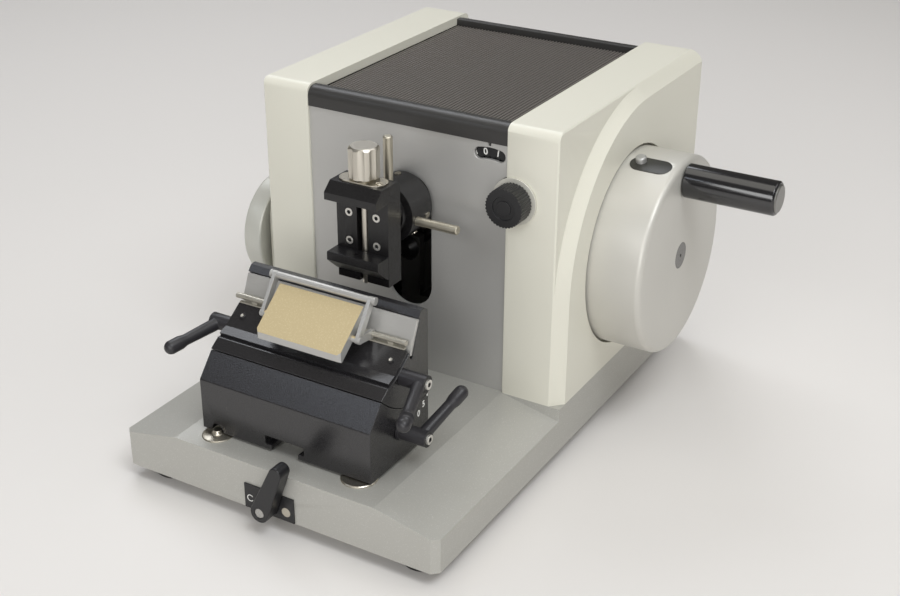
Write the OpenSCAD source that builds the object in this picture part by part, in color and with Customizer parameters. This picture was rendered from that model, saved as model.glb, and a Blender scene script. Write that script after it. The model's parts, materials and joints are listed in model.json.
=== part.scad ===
// Rotary microtome: cast base, two side covers, hand-cranked specimen head and blade holder.
// X runs to the handwheel side, Y to the back, Z up. The origin is on the table, on the
// middle line of the base, in the plane of the side covers' front faces.

/* [Base] */
// Half width of the base
base_half_w = 145; // [140:1:150]
// Distance from the covers' front faces to the front of the base
base_front = 190; // [188:1:200]
// Depth of the body behind the covers' front faces
body_depth = 262; // [258:1:270]
// Height of the rubber feet
foot_h = 12; // [8:1:12]

/* [Covers] */
// Height of the covers above the table
cover_top = 283; // [283:1:286]
// Chamfer around each cover's outer face
cover_chamfer = 10; // [6:1:10]
// Depth of the step in the cover's upper front corner
corner_step = 9; // [6:1:9]

/* [Handwheel] */
// Radius of the handwheel
wheel_r = 83.5; // [80:0.5:84]
// Outer face of the handwheel
wheel_face_x = 190.5; // [188:0.5:194]
// Distance of the handwheel's axle behind the covers' front faces
wheel_y = 123.5; // [122:0.5:125]
// Height of the handwheel's axle
wheel_z = 150.5; // [150:0.5:151]
// Radius on which the handle stands
handle_crank_r = 66.5; // [60:0.5:67]
// Radius of the handle grip
grip_r = 14; // [12:0.5:15]
// Outer end of the handle
handle_end_x = 268; // [256:1:274]

/* [Coarse feed wheel] */
// Radius of the coarse feed wheel
coarse_r = 48; // [40:1:50]

/* [Specimen head] */
// Radius of the specimen arm
arm_r = 18; // [16:0.5:18]
// Radius of the ball housing
housing_r = 25; // [24:0.5:26]
// Width of the specimen vice
vice_w = 47; // [44:0.5:48]

/* [Blade holder] */
// Width of the blade holder
holder_w = 157; // [150:1:158]

/* [Thickness dial] */
// Teeth of the dial's inner gear
dial_teeth = 50; // [46:1:52]
// Teeth of the knob's pinion
pinion_teeth = 15; // [13:1:16]

/* [Hidden] */
$fn = 96;
// Clearances: a running fit, a loose gap between bodies, and a cut's overshoot
fit = 0.05;
gap = 0.3;
over = 1;

// Flat top of the base, half the bay between the covers, and the body's rear inside the bay
deck_z = 52;
bay_half_w = 92;
bay_rear_y = body_depth - 9;

// Axle of the coarse feed wheel
coarse_y = 48;
coarse_z = 129;

// Specimen head: middle line, height with the arm at the top, moving jaw's top when open
head_x = 3;
head_z = 204;
jaw_top = 184;

// Cutting line, which is the axis of the clearance angle, and the cradle around it
edge_y = -97;
edge_z = 166;
cradle_r = 75;

bore_r_shaft = 9;
well_r = 85.5;
well_x = 137;
cavity_x = 133;
cover_x = base_half_w;
arc_y = 142;
arc_z = 141;
arc_r = 132;

panel_y0 = 2.5;
panel_y1 = 5.5;
panel_top = 265;
mat_z0 = 273;
mat_base_z = 274.4;
mat_top_z = 275.4;
rib_pitch = 3.2;
trim_h = 16;

slot_r = 21;
slot_low_z = 130;
slot_high_z = 204.5;

housing_y0 = -32;
housing_y1 = -3;
ball_y = -24;
ring_sphere_r = 20;
ball_r = 16;
pan_lock_r = 3.8;
tilt_lock_r = 3.6;

vice_x0 = head_x - vice_w / 2;
vice_x1 = head_x + vice_w / 2;
vice_face_y = -64.5;
vice_back_y = -47;
vice_low_z = 158;
vice_high_z = 241;
upper_jaw_low_z = 227.5;
upper_jaw_front_y = -80.4;
spindle_y = -60;
spindle_r = 3;
channel_half_w = 5;

holder_mid_x = -2.5;
holder_x0 = holder_mid_x - holder_w / 2;
holder_x1 = holder_mid_x + holder_w / 2;
holder_low_z = deck_z + 1.8;
holder_front_y = -168.5;
holder_back_y = -88;
tee_head_z0 = 58;
tee_head_z1 = 65.3;

segment_pin_y = -124.6;
segment_pin_z = 123.4;
lock_pin_y = -128.5;
lock_pin_z = 79.5;
lever_pin_r = 4;
left_disc_x = -66;
axle_y = -113.4;
axle_z = 145;
axle_r = 2.2;
guard_rod_r = 2.6;
guard_rod_y = -113.2;
guard_rod_z = 172.5;
guard_foot_y = -131;
guard_foot_z = 147.2;

clamp_x = -2;
clamp_z = 21.4;
clamp_len = 43;
clamp_lean = 23;

dial_x = 76;
dial_z = 214.5;
digit_r = 41.7;
dial_r = 48;
axle_distance = 25.6;
dial_module = 2 * axle_distance / (dial_teeth - pinion_teeth);
dial_gear_r = dial_teeth * dial_module / 2;
pinion_r = pinion_teeth * dial_module / 2;
knob_angle = 20.35;
knob_x = dial_x + axle_distance * cos(knob_angle);
knob_z = dial_z + axle_distance * sin(knob_angle);

column_x = [-8, 40];
column_y = 90;
column_r = 8;
carriage_x = [-26, 58];
rail_x = [-20, 40];
rail_w = 12;
screw_x = -36;
crank_r = 30;
crank_pin_r = 5;
yoke_x = [50, 58];

steel = [0.75, 0.75, 0.74];
nickel = [0.78, 0.76, 0.71];
anodised = [0.66, 0.65, 0.62];
ivory = [0.88, 0.87, 0.80];
black_metal = [0.16, 0.16, 0.17];
black_plastic = [0.10, 0.10, 0.11];
bronze = [0.70, 0.56, 0.32];
rubber = [0.12, 0.12, 0.12];

// ---- Placing helpers ----

module block(x, y, z) {
    translate([x[0], y[0], z[0]])
        cube([x[1] - x[0], y[1] - y[0], z[1] - z[0]]);
}

// An outline drawn in Y and Z, carried along X
module along_x(x) {
    translate([x[0], 0, 0])
        rotate([90, 0, 90])
            linear_extrude(x[1] - x[0]) children();
}

// An outline drawn in X and Z, carried along Y
module along_y(y) {
    translate([0, y[1], 0])
        rotate([90, 0, 0])
            linear_extrude(y[1] - y[0]) children();
}

module rod_x(x, y, z, r) {
    translate([x[0], y, z])
        rotate([0, 90, 0])
            cylinder(h = x[1] - x[0], r = r);
}

module rod_y(y, x, z, r) {
    translate([x, y[1], z])
        rotate([90, 0, 0])
            cylinder(h = y[1] - y[0], r = r);
}

module rod_z(z, x, y, r) {
    translate([x, y, z[0]])
        cylinder(h = z[1] - z[0], r = r);
}

module mirrored_x() {
    children();
    mirror([1, 0, 0]) children();
}

// Two circles joined by their outer tangents, the first at the origin, the second up the Y axis
module tapered_bar(r0, r1, length) {
    lean = asin((r0 - r1) / length);
    circle(r0);
    translate([0, length]) circle(r1);
    polygon([
        [r0 * cos(lean), r0 * sin(lean)],
        [r1 * cos(lean), length + r1 * sin(lean)],
        [-r1 * cos(lean), length + r1 * sin(lean)],
        [-r0 * cos(lean), r0 * sin(lean)]
    ]);
}

// The same bar between two points
module bar_between(p, q, r0, r1) {
    step = q - p;
    translate(p)
        rotate(atan2(step.y, step.x) - 90)
            tapered_bar(r0, r1, norm(step));
}

module stadium(length, width) {
    straight = length - width;
    translate([-straight / 2, -width / 2]) square([straight, width]);
    for (side = [-1, 1])
        translate([side * straight / 2, 0]) circle(width / 2);
}

// Socket head screw standing up the Z axis from the origin
module socket_head(r, h) {
    difference() {
        cylinder(h = h, r = r);
        translate([0, 0, h * 0.4])
            cylinder(h = h, r = r * 0.52, $fn = 6);
    }
}

// Slotted cheese head screw standing up the Z axis from the origin
module slotted_head(r, h) {
    difference() {
        cylinder(h = h, r = r);
        translate([-r - over, -r * 0.14, h * 0.5])
            cube([2 * (r + over), r * 0.28, h]);
    }
}

// Spur gear outline with one tooth centred at the given angle
module gear_outline(teeth, root_r, tip_r, turn) {
    step = 360 / teeth;
    polygon([
        for (i = [0 : teeth - 1], corner = [[-0.30, 0], [-0.13, 1], [0.13, 1], [0.30, 0]])
            let (a = turn + (i + corner[0]) * step, r = corner[1] == 1 ? tip_r : root_r)
                [r * cos(a), r * sin(a)]
    ]);
}

// ---- Base ----

module base_outline() {
    corner = 5.4;
    polygon([
        [-base_half_w, body_depth],
        [-base_half_w, -base_front + corner],
        [-base_half_w + corner, -base_front],
        [base_half_w - corner, -base_front],
        [base_half_w, -base_front + corner],
        [base_half_w, body_depth]
    ]);
}

module base_plate() {
    lip_z = deck_z - 11.1;
    color(anodised)
        difference() {
            translate([0, 0, foot_h])
                linear_extrude(deck_z - foot_h) base_outline();
            mirrored_x()
                along_y([-base_front - over, 0])
                    polygon([
                        [bay_half_w, deck_z],
                        [base_half_w, lip_z],
                        [base_half_w + over, lip_z - 0.2],
                        [base_half_w + over, deck_z + over],
                        [bay_half_w, deck_z + over]
                    ]);
            rod_y([-base_front - over, -base_front + 42], clamp_x, clamp_z, 4 + fit);
        }
}

module feet() {
    color(rubber)
        for (x = [-118, 118], y = [-base_front + 27, body_depth - 28])
            translate([x, y, 0])
                difference() {
                    union() {
                        cylinder(h = 3, r1 = 16, r2 = 18);
                        translate([0, 0, 3]) cylinder(h = foot_h - 3, r = 18);
                    }
                    translate([0, 0, -over]) cylinder(h = 5, r = 5);
                }
}

module guide_rails() {
    neck_half = 11.4;
    head_half = 16.8;
    color(steel) {
        difference() {
            union() {
                block([holder_mid_x - 42, holder_mid_x + 42], [-150, -30], [deck_z, holder_low_z]);
                block([holder_mid_x - neck_half, holder_mid_x + neck_half], [-150, -30],
                      [holder_low_z, tee_head_z0 + 0.6]);
                block([holder_mid_x - head_half, holder_mid_x + head_half], [-150, -30],
                      [tee_head_z0 + 0.6, tee_head_z1 - 0.5]);
            }
            for (y = [-135, -90, -45])
                rod_z([deck_z + 8, deck_z + 20], holder_mid_x, y, 4);
        }
        for (x = rail_x)
            block([x, x + rail_w], [24, 216], [deck_z, deck_z + 12]);
    }
}

module locating_discs() {
    color(nickel) {
        translate([left_disc_x, -169.5, deck_z])
            rotate_extrude()
                polygon([[0, 0], [12.3, 0], [12.3, 0.8], [11.4, 1.2], [5.6, 1.5],
                         [4.4, 2], [3.4, 4.8], [0, 4.8]]);
        translate([62, -163, deck_z])
            rotate_extrude()
                polygon([[0, 0], [14.2, 0], [14.2, 0.8], [13.4, 1.5], [0, 1.5]]);
    }
}

module clamp_plate() {
    color(black_plastic)
        difference() {
            block([-25, 21], [-base_front - 1.2, -base_front], [12.6, 34]);
            rod_y([-base_front - 2, -base_front + over], clamp_x, clamp_z, 4.3);
            rod_y([-base_front - 2, -base_front - 0.7], 13.6, 20.5, 4);
        }
}

module front_clamp_lever() {
    color(black_plastic)
        difference() {
            translate([clamp_x, 0, clamp_z])
                rotate([0, clamp_lean, 0])
                    union() {
                        along_y([-base_front - 14, -base_front - 1.6])
                            tapered_bar(8, 5.5, clamp_len);
                    }
            rod_y([-base_front - 15, -base_front], clamp_x, clamp_z, 4 + fit);
        }
}

module clamp_shaft() {
    color(steel)
        union() {
            rod_y([-base_front - 13.4, -base_front + 40], clamp_x, clamp_z, 4);
        }
}

// ---- Covers ----

module cover_plan() {
    rear_chamfer = 3;
    polygon([
        [bay_half_w, 1.2],
        [bay_half_w + 0.4, 0.4],
        [bay_half_w + 1.2, 0],
        [cover_x - cover_chamfer, 0],
        [cover_x, cover_chamfer],
        [cover_x, body_depth - rear_chamfer],
        [cover_x - rear_chamfer, body_depth],
        [bay_half_w, body_depth]
    ]);
}

module cover_side() {
    r = 8;
    difference() {
        translate([0, deck_z]) square([body_depth, cover_top - deck_z]);
        for (end = [0, 1])
            translate([end * body_depth, 0])
                mirror([end, 0])
                    difference() {
                        translate([-over, cover_top - r]) square([r + over, r + over]);
                        translate([r, cover_top - r]) circle(r);
                    }
    }
}

module cover_end() {
    polygon([
        [bay_half_w, deck_z],
        [cover_x, deck_z],
        [cover_x, cover_top - cover_chamfer],
        [cover_x - cover_chamfer, cover_top],
        [bay_half_w, cover_top]
    ]);
}

// The material cut from the upper front corner, outside a wide cone around the wheel side
module corner_recess() {
    flat_x = cover_x - corner_step;
    difference() {
        block([flat_x, cover_x + over], [-over, arc_y], [arc_z, cover_top + over]);
        translate([flat_x - over, arc_y, arc_z])
            rotate([0, 90, 0])
                cylinder(h = corner_step + 2 * over,
                         r1 = arc_r + corner_step + over, r2 = arc_r - over, $fn = 180);
    }
}

module cover_shell() {
    difference() {
        intersection() {
            translate([0, 0, deck_z])
                linear_extrude(cover_top - deck_z) cover_plan();
            along_x([bay_half_w, cover_x]) cover_side();
            along_y([0, body_depth]) cover_end();
        }
        corner_recess();
        block([bay_half_w - over, cavity_x], [5, body_depth - 5], [deck_z - over, mat_top_z]);
    }
}

module right_cover() {
    color(ivory)
        difference() {
            cover_shell();
            rod_x([well_x, cover_x + over], wheel_y, wheel_z, well_r);
            rod_x([cavity_x - over, well_x + over], wheel_y, wheel_z, bore_r_shaft + 3);
            rod_y([-over, 6], knob_x, knob_z, 4 + gap);
        }
}

module left_cover() {
    color(ivory)
        difference() {
            mirror([1, 0, 0]) cover_shell();
            rod_x([-cover_x - over, -cavity_x + over], coarse_y, coarse_z, 9);
        }
}

module front_panel() {
    color(anodised)
        difference() {
            block([-bay_half_w, bay_half_w], [panel_y0, panel_y1], [deck_z, panel_top]);
            along_y([panel_y0 - over, panel_y1 + over])
                translate([head_x, (slot_low_z + slot_high_z) / 2])
                    rotate(90)
                        stadium(slot_high_z - slot_low_z + 2 * slot_r, 2 * slot_r);
            along_y([panel_y0 - over, panel_y1 + over])
                translate([dial_x, dial_z]) {
                    dial_window();
                    polygon([[-1.5, 51.5], [1.5, 51.5], [1, 48], [-1, 48]]);
                }
            rod_y([panel_y0 - over, panel_y1 + over], knob_x, knob_z, 19);
        }
}

// Curved window through which two numbers of the dial show
module dial_window() {
    half_angle = 12.1;
    half_w = 4.75;
    wedge_r = 60;
    intersection() {
        difference() {
            circle(digit_r + half_w);
            circle(digit_r - half_w);
        }
        polygon([
            [0, 0],
            [-wedge_r * sin(half_angle), wedge_r * cos(half_angle)],
            [wedge_r * sin(half_angle), wedge_r * cos(half_angle)]
        ]);
    }
    for (side = [-1, 1])
        translate([side * digit_r * sin(half_angle), digit_r * cos(half_angle)])
            circle(half_w);
}

module rear_panel() {
    color(anodised)
        block([-bay_half_w, bay_half_w], [bay_rear_y - 5, bay_rear_y - 2], [deck_z, panel_top]);
}

module top_plate() {
    color(steel)
        block([-bay_half_w, bay_half_w], [14, bay_rear_y - 14], [mat_z0 - 3, mat_z0]);
}

module top_mat() {
    half = bay_half_w - 0.2;
    ribs = floor(2 * half / rib_pitch);
    first = -ribs * rib_pitch / 2;
    rib_w = rib_pitch * 0.55;
    color(rubber)
        along_y([14, bay_rear_y - 14])
            polygon(concat(
                [[-half, mat_z0], [-half, mat_base_z]],
                [for (i = [0 : ribs - 1], p = [[0, mat_base_z], [0.2, mat_top_z],
                                               [rib_w - 0.2, mat_top_z], [rib_w, mat_base_z]])
                    [first + i * rib_pitch + 0.6 + p[0], p[1]]],
                [[half, mat_base_z], [half, mat_z0]]
            ));
}

// Section of the rounded trim, its front at the origin's left and its lip towards the mat
module trim_section() {
    round_r = 8;
    steps = 8;
    polygon(concat(
        [[0, 0], [0, trim_h - round_r]],
        [for (i = [1 : steps])
            let (a = 180 - 90 * i / steps)
                [round_r + round_r * cos(a), trim_h - round_r + round_r * sin(a)]],
        [[9.4, trim_h], [9.8, trim_h - 1], [10.2, trim_h], [12.6, trim_h - 0.3], [13, trim_h - 1],
         [13, 7.4], [4.4, 7.4], [4.4, 0]]
    ));
}

module top_trims() {
    color(black_plastic) {
        along_x([-bay_half_w, bay_half_w])
            translate([1, panel_top + 0.4]) trim_section();
        along_x([-bay_half_w, bay_half_w])
            translate([bay_rear_y - 0.5, panel_top + 0.4])
                mirror([1, 0]) trim_section();
    }
}

// ---- Inner frame and drive ----

module side_frames() {
    color(steel)
        difference() {
            mirrored_x() {
                block([80, bay_half_w], [20, 240], [deck_z, mat_z0 - 3]);
            }
            rod_x([79, 94], wheel_y, wheel_z, 14);
            rod_x([-94, -79], coarse_y, coarse_z, 10);
            for (y = [40, 215], z = [80, 240])
                rod_x([-94, -79], y, z, 3);
        }
}

module shaft_housing() {
    color(anodised)
        difference() {
            union() {
                rod_x([bay_half_w, bay_half_w + 5], wheel_y, wheel_z, 32);
                rod_x([bay_half_w, cavity_x - 1], wheel_y, wheel_z, 19);
            }
            rod_x([bay_half_w - over, cavity_x + over], wheel_y, wheel_z, 14);
            for (a = [45 : 90 : 315])
                rod_x([bay_half_w - over, bay_half_w + 6],
                      wheel_y + 25 * cos(a), wheel_z + 25 * sin(a), 2.5);
        }
}

// A plain bearing ring along X
module bearing_x(x, y, z, bore, outer) {
    difference() {
        rod_x(x, y, z, outer);
        rod_x([x[0] - over, x[1] + over], y, z, bore);
    }
}

module bearings() {
    color(bronze) {
        bearing_x([80, 91], wheel_y, wheel_z, bore_r_shaft + fit, 14);
        bearing_x([120, cavity_x - 1], wheel_y, wheel_z, bore_r_shaft + fit, 14);
        bearing_x([-92, -80], coarse_y, coarse_z, 5 + fit, 10);
    }
}

module inner_brackets() {
    color(anodised) {
        // Stand for the dial's stud, fixed to the right frame's front edge
        difference() {
            union() {
                block([64, 90], [13.5, 16.5], [200, 229]);
                block([80, 90], [16.5, 20], [200, 229]);
                rod_y([7.2, 13.5], dial_x, dial_z, 4);
            }
            rod_y([6, 9], dial_x, dial_z, 1.5);
        }
        // Stands for the two ends of the feed spindle
        for (y = [[66, 74], [184, 192]])
            difference() {
                block([screw_x - 10, screw_x + 9], y, [deck_z, coarse_z + 10]);
                rod_y([y[0] - over, y[1] + over], screw_x, coarse_z, 5 + fit);
            }
        // Stand for the ratchet pawl's pin
        difference() {
            union() {
                block([screw_x - 38, screw_x - 26], [184, 192], [deck_z, coarse_z + 12]);
                rod_y([192, 201], screw_x - 32, coarse_z + 4, 3);
            }
            rod_y([183, 187], screw_x - 32, coarse_z - 20, 3);
        }
    }
}

module knob_ring() {
    color(steel)
        difference() {
            rod_y([-2.2, 0], knob_x, knob_z, 19);
            rod_y([-3, over], knob_x, knob_z, 4 + gap);
        }
}

module panel_screws() {
    color(steel)
        for (x = [-84, 84], z = [62, 158, 255])
            translate([x, bay_rear_y - 2, z])
                rotate([-90, 0, 0]) socket_head(3.2, 1.8);
}

// ---- Handwheel ----

lock_angle = 13.9;
lock_mid_x = 166.8;
lock_len = 35;
lock_w = 18.8;
lock_knob_r = 4.4;

// Carries a shape drawn around the wheel's top line to the lock's place on the rim
module at_lock() {
    translate([0, wheel_y, wheel_z])
        rotate([lock_angle, 0, 0]) children();
}

module lock_outline(shrink) {
    translate([lock_mid_x, 0]) stadium(lock_len - shrink, lock_w - shrink);
}

// Centre of the push pin, near the plate's inner end
module at_lock_knob(z) {
    at_lock() translate([157.5, 2.2, z]) children();
}

module handwheel() {
    edge = 5;
    back_x = 138.5;
    web_x = 172;
    color(anodised)
        difference() {
            translate([0, wheel_y, wheel_z])
                rotate([0, 90, 0])
                    rotate_extrude($fn = 180)
                        polygon(concat(
                            [[bore_r_shaft + 0.04, back_x], [34, back_x], [34, web_x],
                             [72, web_x], [72, back_x], [wheel_r - 1, back_x], [wheel_r, back_x + 1]],
                            [for (i = [0 : 6])
                                [wheel_r - edge + edge * cos(15 * i),
                                 wheel_face_x - edge + edge * sin(15 * i)]],
                            [[11.3, wheel_face_x], [11.3, wheel_face_x - 2],
                             [bore_r_shaft + 0.04, wheel_face_x - 2]]
                        ));
            at_lock() translate([0, 0, wheel_r - 3]) linear_extrude(10) lock_outline(0);
            at_lock_knob(60) cylinder(h = 30, r = lock_knob_r + fit);
            rod_x([web_x - over, wheel_face_x + over], wheel_y, wheel_z + handle_crank_r, 5.02);
        }
}

module lock_plate() {
    color(black_plastic)
        difference() {
            intersection() {
                at_lock() translate([0, 0, wheel_r - 3]) linear_extrude(10) lock_outline(0.1);
                rod_x([140, 195], wheel_y, wheel_z, wheel_r + 0.4, $fn = 360);
            }
            at_lock_knob(60) cylinder(h = 30, r = lock_knob_r + fit);
        }
}

module wheel_lock_pin() {
    low = 66;
    top = wheel_r + 5.2;
    color(nickel) {
        at_lock_knob(low) cylinder(h = 2.5, r = lock_knob_r + 1.4);
        at_lock_knob(low) cylinder(h = top - 1 - low, r = lock_knob_r);
        at_lock_knob(top - 1) cylinder(h = 1, r1 = lock_knob_r, r2 = lock_knob_r - 1);
    }
}

module hub_cap() {
    color(steel)
        difference() {
            rod_x([wheel_face_x - 2, wheel_face_x], wheel_y, wheel_z, 11.25);
            rod_x([wheel_face_x - 1.2, wheel_face_x + over], wheel_y, wheel_z, 1.4);
        }
}

module drive_shaft() {
    color(steel)
        rod_x([64, wheel_face_x - 2], wheel_y, wheel_z, bore_r_shaft);
}

module crank_disc() {
    color(steel) {
        difference() {
            rod_x([66, 76], wheel_y, wheel_z, 42);
            rod_x([65, 77], wheel_y, wheel_z, bore_r_shaft + 0.02);
            for (a = [200, 270, 340])
                rod_x([65, 77], wheel_y + 26 * cos(a), wheel_z + 26 * sin(a), 7);
        }
        rod_x([yoke_x[1] + 1, 66], wheel_y, wheel_z + crank_r, crank_pin_r);
    }
}

module handle_spindle() {
    color(steel)
        union() {
            rod_x([172, handle_end_x - 4], wheel_y, wheel_z + handle_crank_r, 5);
        }
}

module handle_grip() {
    end_x = handle_end_x - 1.4;
    chamfer = 1.2;
    color(black_plastic)
        translate([0, wheel_y, wheel_z + handle_crank_r])
            rotate([0, 90, 0])
                rotate_extrude()
                    polygon([
                        [5 + fit, wheel_face_x + 0.5], [grip_r - 0.8, wheel_face_x + 0.5],
                        [grip_r, wheel_face_x + 1.3], [grip_r, end_x - chamfer],
                        [grip_r - chamfer, end_x], [11.52, end_x], [11.52, end_x - 2],
                        [5 + fit, end_x - 2]
                    ]);
}

module grip_cap() {
    color(steel)
        translate([0, wheel_y, wheel_z + handle_crank_r])
            rotate([0, 90, 0])
                rotate_extrude()
                    polygon([
                        [0, handle_end_x - 3.4], [11.5, handle_end_x - 3.4],
                        [11.5, handle_end_x - 0.7], [10.8, handle_end_x], [0, handle_end_x]
                    ]);
}

// ---- Feed ----

module feed_carriage() {
    low_z = deck_z + 6;
    color(anodised)
        difference() {
            union() {
                block(carriage_x, [64, 130], [low_z, 84]);
                block([screw_x - 9, carriage_x[0]], [96, 112], [low_z, 84]);
                block([screw_x - 9, screw_x + 9], [96, 112], [84, coarse_z + 9]);
                block([column_x[0] - 14, column_x[1] + 9], [80, 100], [246, 258]);
            }
            for (x = rail_x)
                block([x - 0.3, x + rail_w + 0.3], [63, 131], [low_z - over, deck_z + 12.2]);
            for (x = column_x) {
                rod_z([70, 85], x, column_y, column_r + 0.02);
                rod_z([245, 259], x, column_y, column_r + 0.02);
            }
            rod_y([95, 113], screw_x, coarse_z, 5 + fit);
        }
}

module guide_columns() {
    color(steel)
        for (x = column_x)
            rod_z([70, 258], x, column_y, column_r);
}

// A bevel wheel of 45 degrees on the Z axis, its wide face at z = 0
module bevel_wheel(r, h) {
    teeth = 16;
    difference() {
        cylinder(h = h, r1 = r, r2 = r - h);
        for (i = [0 : teeth - 1])
            rotate(i * 360 / teeth)
                translate([r, 0, 0])
                    rotate([0, -45, 0])
                        translate([-1.3, -0.55, -4]) cube([4, 1.1, 4 + 2 * r]);
    }
}

bevel_r = 12;
bevel_h = 5.5;

module feed_spindle() {
    color(steel) {
        rod_y([coarse_y + bevel_r, 204], screw_x, coarse_z, 5);
        translate([screw_x, coarse_y + bevel_r + 0.4, coarse_z])
            rotate([90, 180 / 16, 0]) bevel_wheel(bevel_r - 0.4, bevel_h);
        // Ratchet wheel at the rear end
        along_y([194, 200])
            translate([screw_x, coarse_z])
                gear_outline(36, 15.6, 17, 5);
    }
}

module ratchet_pawl() {
    pin_x = screw_x - 32;
    pin_z = coarse_z + 4;
    color(steel)
        difference() {
            along_y([194, 200])
                union() {
                    bar_between([pin_x, pin_z], [screw_x - 19.7, coarse_z + 1.5], 6, 2.2);
                }
            rod_y([193, 201], pin_x, pin_z, 3 + fit);
        }
}

module coarse_wheel() {
    outer_x = -168;
    inner_x = -150;
    edge = 2.5;
    color(anodised) {
        translate([0, coarse_y, coarse_z])
            rotate([0, -90, 0])
                rotate_extrude($fn = 144)
                    polygon(concat(
                        [[0, -inner_x - 3], [14, -inner_x - 3], [14, -inner_x],
                         [coarse_r - 1, -inner_x], [coarse_r, -inner_x + 1]],
                        [for (i = [0 : 6])
                            [coarse_r - edge + edge * cos(15 * i),
                             -outer_x - edge + edge * sin(15 * i)]],
                        [[0, -outer_x]]
                    ));
        rod_x([-147, screw_x - bevel_r], coarse_y, coarse_z, 5);
        translate([screw_x - bevel_r - 0.4, coarse_y, coarse_z])
            rotate([0, 90, 0]) bevel_wheel(bevel_r - 0.4, bevel_h);
    }
}

// ---- Lift and specimen arm ----

module lift_block() {
    color(anodised)
        difference() {
            union() {
                block([-20, 50], [72, 108], [176, 232]);
                block(yoke_x, [84, 163], [168, 193]);
            }
            for (x = column_x)
                rod_z([175, 233], x, column_y, column_r + fit);
            block([yoke_x[0] - over, yoke_x[1] + over], [110, 158],
                  [wheel_z + crank_r - 7, wheel_z + crank_r + 7]);
            for (x = [10, 22], z = [186, 222])
                rod_y([71, 84], x - 13, z, 2.5);
        }
}

module specimen_arm() {
    color(black_metal)
        union() {
            rod_y([housing_y1, 64], head_x, head_z, arm_r);
            rod_y([64, 72], head_x, head_z, 26);
        }
}

module ball_housing() {
    color(black_metal)
        difference() {
            rod_y([housing_y0, housing_y1], head_x, head_z, housing_r);
            translate([head_x, ball_y, head_z]) sphere(ring_sphere_r + gap);
            // Mouth through which the ball's neck comes out
            rod_y([housing_y0 - over, ball_y], head_x, head_z, 18.6);
            rod_z([head_z + 15, head_z + 30], head_x, -27, pan_lock_r + fit);
            rod_x([head_x + 15, head_x + 30], -25, head_z - 4, tilt_lock_r + fit);
        }
}

module housing_screws() {
    color(steel)
        for (a = [95, -10, -60])
            translate([head_x, -10, head_z])
                rotate([0, 90 - a, 0])
                    translate([0, 0, housing_r]) slotted_head(2.6, 0.9);
}

// A clamping pin standing up the Z axis, its foot 3 below the origin
module lock_pin(length, r) {
    edge = 0.9;
    translate([0, 0, -3]) cylinder(h = length + 3 - edge, r = r);
    translate([0, 0, length - edge]) cylinder(h = edge, r1 = r, r2 = r - edge);
}

module pan_lock_pin() {
    color(nickel)
        translate([head_x, -27, head_z + housing_r])
            lock_pin(37.3, pan_lock_r);
}

module tilt_lock_pin() {
    color(nickel)
        translate([head_x + housing_r, -25, head_z - 4])
            rotate([0, 90, 0]) lock_pin(37, tilt_lock_r);
}

// A sphere about the head's centre
module head_sphere(r) {
    translate([head_x, ball_y, head_z]) sphere(r);
}

// A belt of a sphere, turned about the arm's axis, open at the front and the back
module pan_ring() {
    inner_r = ball_r + gap;
    front_angle = 60;
    back_angle = 136;
    steps = 24;
    swing = (back_angle - front_angle) / steps;
    color(black_metal)
        translate([head_x, ball_y, head_z])
            rotate([90, 0, 0])
                rotate_extrude()
                    polygon(concat(
                        [for (i = [0 : steps])
                            let (a = front_angle + i * swing)
                                [ring_sphere_r * sin(a), ring_sphere_r * cos(a)]],
                        [for (i = [steps : -1 : 0])
                            let (a = front_angle + i * swing)
                                [inner_r * sin(a), inner_r * cos(a)]]
                    ));
}

// ---- Specimen vice ----

module vice_ball() {
    color(steel) {
        head_sphere(ball_r);
        rod_y([vice_back_y + 5, ball_y], head_x, head_z, 9);
        rod_y([vice_back_y, vice_back_y + 5], head_x, head_z, 19);
    }
}

module vice_body() {
    color(black_metal)
        difference() {
            along_x([vice_x0, vice_x1])
                polygon([
                    [vice_back_y, vice_low_z], [vice_face_y, vice_low_z],
                    [vice_face_y, upper_jaw_low_z], [upper_jaw_front_y, upper_jaw_low_z],
                    [upper_jaw_front_y, vice_high_z - 7.5], [-72, vice_high_z],
                    [vice_back_y - 3, vice_high_z], [vice_back_y, vice_high_z - 3]
                ]);
            block([head_x - channel_half_w, head_x + channel_half_w], [vice_face_y - over, -53.5],
                  [165, upper_jaw_low_z]);
            rod_z([vice_low_z - over, vice_high_z + over], head_x, spindle_y, spindle_r + fit);
            block([head_x - 3.5, head_x + 3.5], [vice_face_y - over, spindle_y],
                  [vice_low_z - over, 165]);
            // Seats of the four screws
            for (x = [-12.5, 12.5], z = [190.3, 213.7])
                rod_y([vice_face_y - over, vice_face_y + 3], head_x + x, z, 3.6);
        }
}

module vice_screws() {
    color(nickel)
        for (x = [-12.5, 12.5], z = [190.3, 213.7])
            translate([head_x + x, vice_face_y + 3, z])
                rotate([90, 0, 0]) socket_head(3.3, 2.8);
}

module vice_top_plate() {
    color(nickel) {
        difference() {
            translate([head_x, spindle_y - 1.2, vice_high_z])
                linear_extrude(1.4) stadium(41, 18.5);
            rod_z([vice_high_z - over, vice_high_z + 2], head_x, spindle_y, spindle_r + fit);
        }
        translate([head_x + 15.6, spindle_y - 3.2, vice_high_z + 1.4])
            rotate(20) slotted_head(2.9, 0.8);
    }
}

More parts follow.
